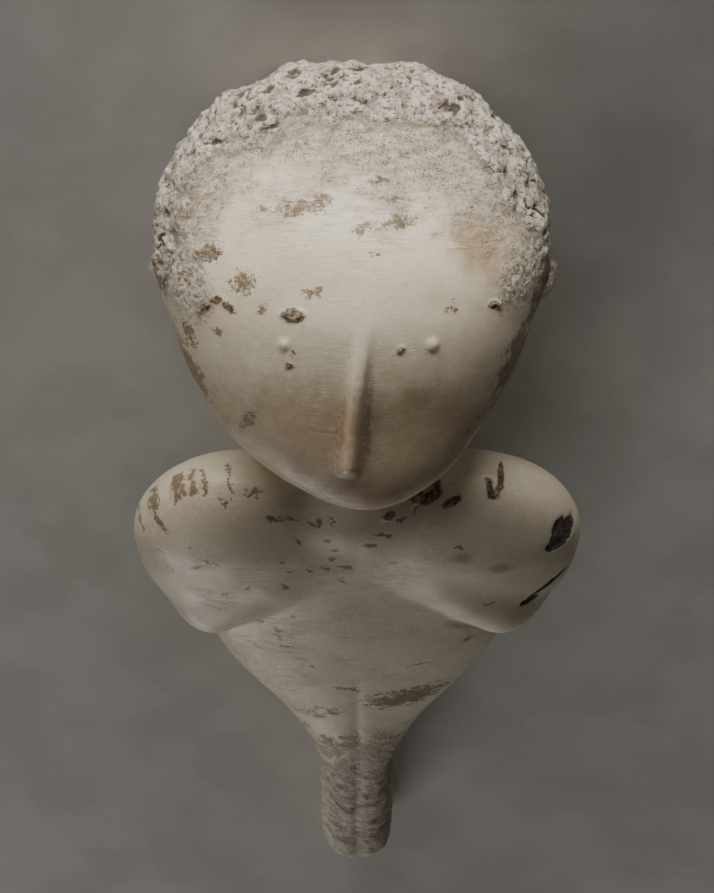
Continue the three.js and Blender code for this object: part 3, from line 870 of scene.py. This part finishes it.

# %% Specks on the brow, stained belly and face, and painted shade on the face
brow_specks = [
    (-6.8, 12.5, 3.4, 1.0, 8), (-4.6, 13.3, 1.6, 0.8, 8), (1.6, 9.8, 1.6, 0.7, 12),
    (6.4, 10.5, 2.1, 0.9, 14), (6.2, 13.6, 2.4, 0.3, 0), (-14.8, 2.3, 1.7, 1.4, 0),
    (-5.1, 1.1, 1.3, 0.7, 10), (-12.2, -1.0, 0.5, 0.8, 0), (-19.5, 6.2, 2.2, 1.1, 15),
    (-12.0, 12.4, 0.8, 0.5, 0), (-22.3, -5.5, 2.2, 0.6, -67), (-18.3, -4.6, 0.7, 0.4, -60),
    (13.5, -1.0, 0.8, 0.6, 0), (-8.0, -7.1, 0.8, 0.3, -56), (4.0, 16.0, 1.6, 0.4, 0),
    (-14.5, -17.5, 1.6, 0.8, 60), (3.2, 6.5, 0.9, 0.4, -20),
]
specks = strokes(head_place, brow_specks)
on_face = marble.region("face_side").step(0.3, 0.6)
speck_mask = (specks * 0.20 + grit * 0.6 + pin_grit * 0.4).step(0.57, 0.64)
speck_mask = speck_mask * specks.step(0.02, 0.20) * on_face
smear_mask = (specks + (coarse_grit - 0.5) * 1.2).step(0.20, 0.90)
smear_mask = smear_mask * specks.step(0.0, 0.2) * on_face
stain_and_shade_mask = frayed("stains_and_painted_shade", (coarse_grit - 0.5) * 0.9, 0.05, 0.90)
edge_mask = frayed("edge_stain", (coarse_grit - 0.5) * 1.8 + (grit - 0.5) * 1.6, 0.35, 0.80)
grain_mask = frayed("temple_grain", (grit - 0.5) * 1.8, 0.22, 0.50)

belly_patch = strokes(body_place, [(7.6, 55.2, 6.0, 2.6, 13)])
hatched_place = marble.stretched(warped, (0, 0, -13), (0.35, 1.6, 1.0))
belly_streaks = marble.noise(hatched_place, 1.0, 3.0, 0.6)
belly_mask = (belly_patch * 0.28 + belly_streaks).step(0.57, 0.65) * belly_patch.step(0.03, 0.20)
belly_mask = belly_mask * marble.region("chest_side")
nose_sides = strokes(head_place, [(-1.5, -18.5, 6.5, 0.45, 85), (2.2, -18.0, 7.5, 0.45, 85)])
# The patch below the nose is painted shade over the sunk strip there.
under_nose_painted_shade = strokes(head_place, [(-0.7, -28.5, 1.6, 3.0, 0)]).step(0.2, 0.7)
nose_stain_and_shade_mask = (nose_sides + (grit - 0.5)).step(0.30, 0.80).either(under_nose_painted_shade * 0.3)
nose_stain_and_shade_mask = nose_stain_and_shade_mask * marble.region("face_side")

# Tan stains, with painted shade on the lower face and the left leg.
colour = marble.paint(colour, (0.42, 0.29, 0.165), stain_and_shade_mask * 0.60)
colour = marble.paint(colour, (0.24, 0.155, 0.09), edge_mask * 0.7)
# Brown stain lines beside the nose, and painted shade below it.
colour = marble.paint(colour, (0.36, 0.24, 0.15), nose_stain_and_shade_mask * 0.55)
grain_colour = marble.paint((0.27, 0.20, 0.14), (0.76, 0.71, 0.63), grit.step(0.40, 0.56))
colour = marble.paint(colour, grain_colour, grain_mask * 0.75)
colour = marble.paint(colour, (0.52, 0.42, 0.31), smear_mask * 0.45)
colour = marble.paint(colour, (0.22, 0.155, 0.095), speck_mask * 0.80)
colour = marble.paint(colour, (0.175, 0.12, 0.072), belly_mask * 0.75)
stroke_colour = marble.paint((0.16, 0.115, 0.07), (0.30, 0.225, 0.15), grit.step(0.40, 0.60))
colour = marble.paint(colour, stroke_colour, stroke_mask * 0.80)

crumb_mask = frayed("crumbs", (grit - 0.5) * 0.9, 0.08, 0.28)
crumb_colour = marble.paint((0.17, 0.12, 0.08), (0.50, 0.41, 0.31), grit.step(0.42, 0.60))
crumb_top = relief_hollow.step(0.25, 0.0)
crumb_colour = marble.paint(crumb_colour, (0.66, 0.60, 0.52), crumb_top * 0.6)
scar_mask = frayed("scars", (grit - 0.5) * 0.35, 0.03, 0.09)
scar_light = coarse_grit.step(0.40, 0.60)
scar_colour = marble.paint((0.085, 0.070, 0.058), (0.175, 0.150, 0.125), scar_light)
colour = marble.paint(colour, crumb_colour, crumb_mask)
colour = marble.paint(colour, scar_colour, scar_mask * 0.95)
print("weathering:", len(marble.tree.nodes), "nodes")

# %% [markdown]
# ## Sheen and grain
#
# Rubbed marble has a soft shine; crust has none. Roughness follows the masks, and a bump
# gives the crust its grit and the polished skin its hair scratches and crystal faces.

# %% Sheen, grain and the light inside the stone
dull = crust_mask.either(leg_mask).either(crumb_mask).either(scar_mask).either(grain_mask * 0.8)
roughness = 0.34 + 0.12 * fine_clouds + 0.06 * crystal_shade + 0.05 * scratches
roughness = roughness.either(matt_mask * 0.56).either(dull * 0.88)
height = dull * (grit * 0.55 + coarse_grit * 0.30) - pit_mask * crust_mask * 0.35
height = height + matt_mask * (streaks * 0.16 + grit * 0.12 - pinholes * 0.12)
height = height - scratches * 0.035 + crystal_shade * 0.012 + fine_clouds * 0.03
bump = marble.node(
    "ShaderNodeBump", {}, {"Height": height, "Strength": 0.9, "Distance": 0.001}, "Normal"
)
marble.set(Base_Color=colour, Roughness=roughness, Normal=bump)
marble.set(Subsurface_Weight=0.45, Subsurface_Scale=0.0025, Subsurface_Radius=(1.0, 0.75, 0.48))
marble.set(IOR=1.5, Specular_IOR_Level=0.5)
stone.data.materials.clear()
stone.data.materials.append(marble.material)
print("finish complete:", len(marble.tree.nodes), "nodes")

# %% [markdown]
# ## Table, lights and camera
#
# The table is plain and pale. A broad soft light stands low beyond the head, so the crown
# and the shoulders catch it and the lower face turns away from it. A weaker fill stands
# low past the feet and reaches the chest and legs, and an even, dim surrounding light
# keeps the rest readable. The camera looks down on the lying stone at a slant, turned so
# that the head is at the top of the picture.

# %% Table
TABLE_REACH = 3.0
# The table is this far under the stone, in metres, so the two don't share a surface.
HAIR_GAP = 0.00005
table_finish = Finish("table")
table_place = table_finish.node("ShaderNodeTexCoord", {}, {}, "Object")
grain = table_finish.noise(table_place, 60.0, 4.0)
table_finish.set(
    Base_Color=table_finish.paint((0.62, 0.61, 0.59), (0.68, 0.67, 0.65), grain.step(0.4, 0.6)),
    Roughness=0.85,
)
table_mesh = bpy.data.meshes.new("table")
corners = [(-1, -1), (1, -1), (1, 1), (-1, 1)]
corners = [(TABLE_REACH * x, TABLE_REACH * y, 0) for x, y in corners]
table_mesh.from_pydata(corners, [], [(0, 1, 2, 3)])
table = bpy.data.objects.new("table", table_mesh)
bpy.context.scene.collection.objects.link(table)
table.location.z = measured_box[0][2] - HAIR_GAP
table_mesh.materials.append(table_finish.material)

# %% Lights
LAMP_TINT = (1.0, 0.97, 0.92)
SURROUND_TINT, SURROUND_STRENGTH = (1.0, 0.97, 0.93, 1), 0.06


def softbox(name, place, target, size, watts):
    """A rectangular lamp at a place, turned to face the target."""
    lamp = bpy.data.lights.new(name, "AREA")
    lamp.shape = "RECTANGLE"
    lamp.size, lamp.size_y = size
    lamp.energy, lamp.color = watts, LAMP_TINT
    obj = bpy.data.objects.new(name, lamp)
    obj.location = place
    direction = Vector(target) - Vector(place)
    obj.rotation_euler = direction.to_track_quat("-Z", "Y").to_euler()
    bpy.context.scene.collection.objects.link(obj)


chest = ((low[0] + high[0]) / 2, (low[1] + high[1]) / 2, high[2] / 2)
brow = (0, 0.05, 0.025)
softbox("key", (-0.06, 0.64, 0.065), brow, (0.50, 0.11), 3.7)
softbox("fill", (-0.27, -0.62, 0.235), chest, (0.4, 0.3), 1.35)
world = bpy.data.worlds.new("studio")
bpy.context.scene.world = world
world.use_nodes = True
background = world.node_tree.nodes["Background"]
background.inputs["Color"].default_value = SURROUND_TINT
background.inputs["Strength"].default_value = SURROUND_STRENGTH

# The relief reads better with a little more contrast than the plain print gives.
bpy.context.scene.view_settings.look = "AgX - Medium High Contrast"

# %% Camera
# Standing, the view is from the front and 60 degrees up; the lie of the stone turns it.
VIEW_UP_FROM_FRONT = math.radians(60)
DISTANCE_MM = 600.0
# The aim is raised a little in the picture, so the whole figurine is framed evenly.
AIM_RAISE_MM = 13.4
SENSOR_HEIGHT_MM, LENS_MM = 24.0, 109.2
standing_target = np.array([[0.0, 95.0, 0.0]])
toward_camera = np.array([0.0, math.sin(VIEW_UP_FROM_FRONT), math.cos(VIEW_UP_FROM_FRONT)])
picture_up = np.array([0.0, math.cos(VIEW_UP_FROM_FRONT), -math.sin(VIEW_UP_FROM_FRONT)])
eye = lie_down(standing_target + DISTANCE_MM * toward_camera, lie)[0] / 1000
target = lie_down(standing_target + AIM_RAISE_MM * picture_up, lie)[0] / 1000
up_tip = lie_down(standing_target + (AIM_RAISE_MM + 10) * picture_up, lie)[0] / 1000

backward = Vector(eye - target).normalized()
rightward = Vector(up_tip - target).cross(backward).normalized()
upward = backward.cross(rightward)
camera_data = bpy.data.cameras.new("camera")
camera_data.sensor_fit = "VERTICAL"
camera_data.sensor_height = SENSOR_HEIGHT_MM
camera_data.lens = LENS_MM
camera = bpy.data.objects.new("camera", camera_data)
turn = Matrix((rightward, upward, backward)).transposed().to_4x4()
camera.matrix_world = Matrix.Translation(Vector(eye)) @ turn
bpy.context.scene.collection.objects.link(camera)
bpy.context.scene.camera = camera
print("camera elevation, degrees:", round(math.degrees(math.asin(backward.z)), 1))
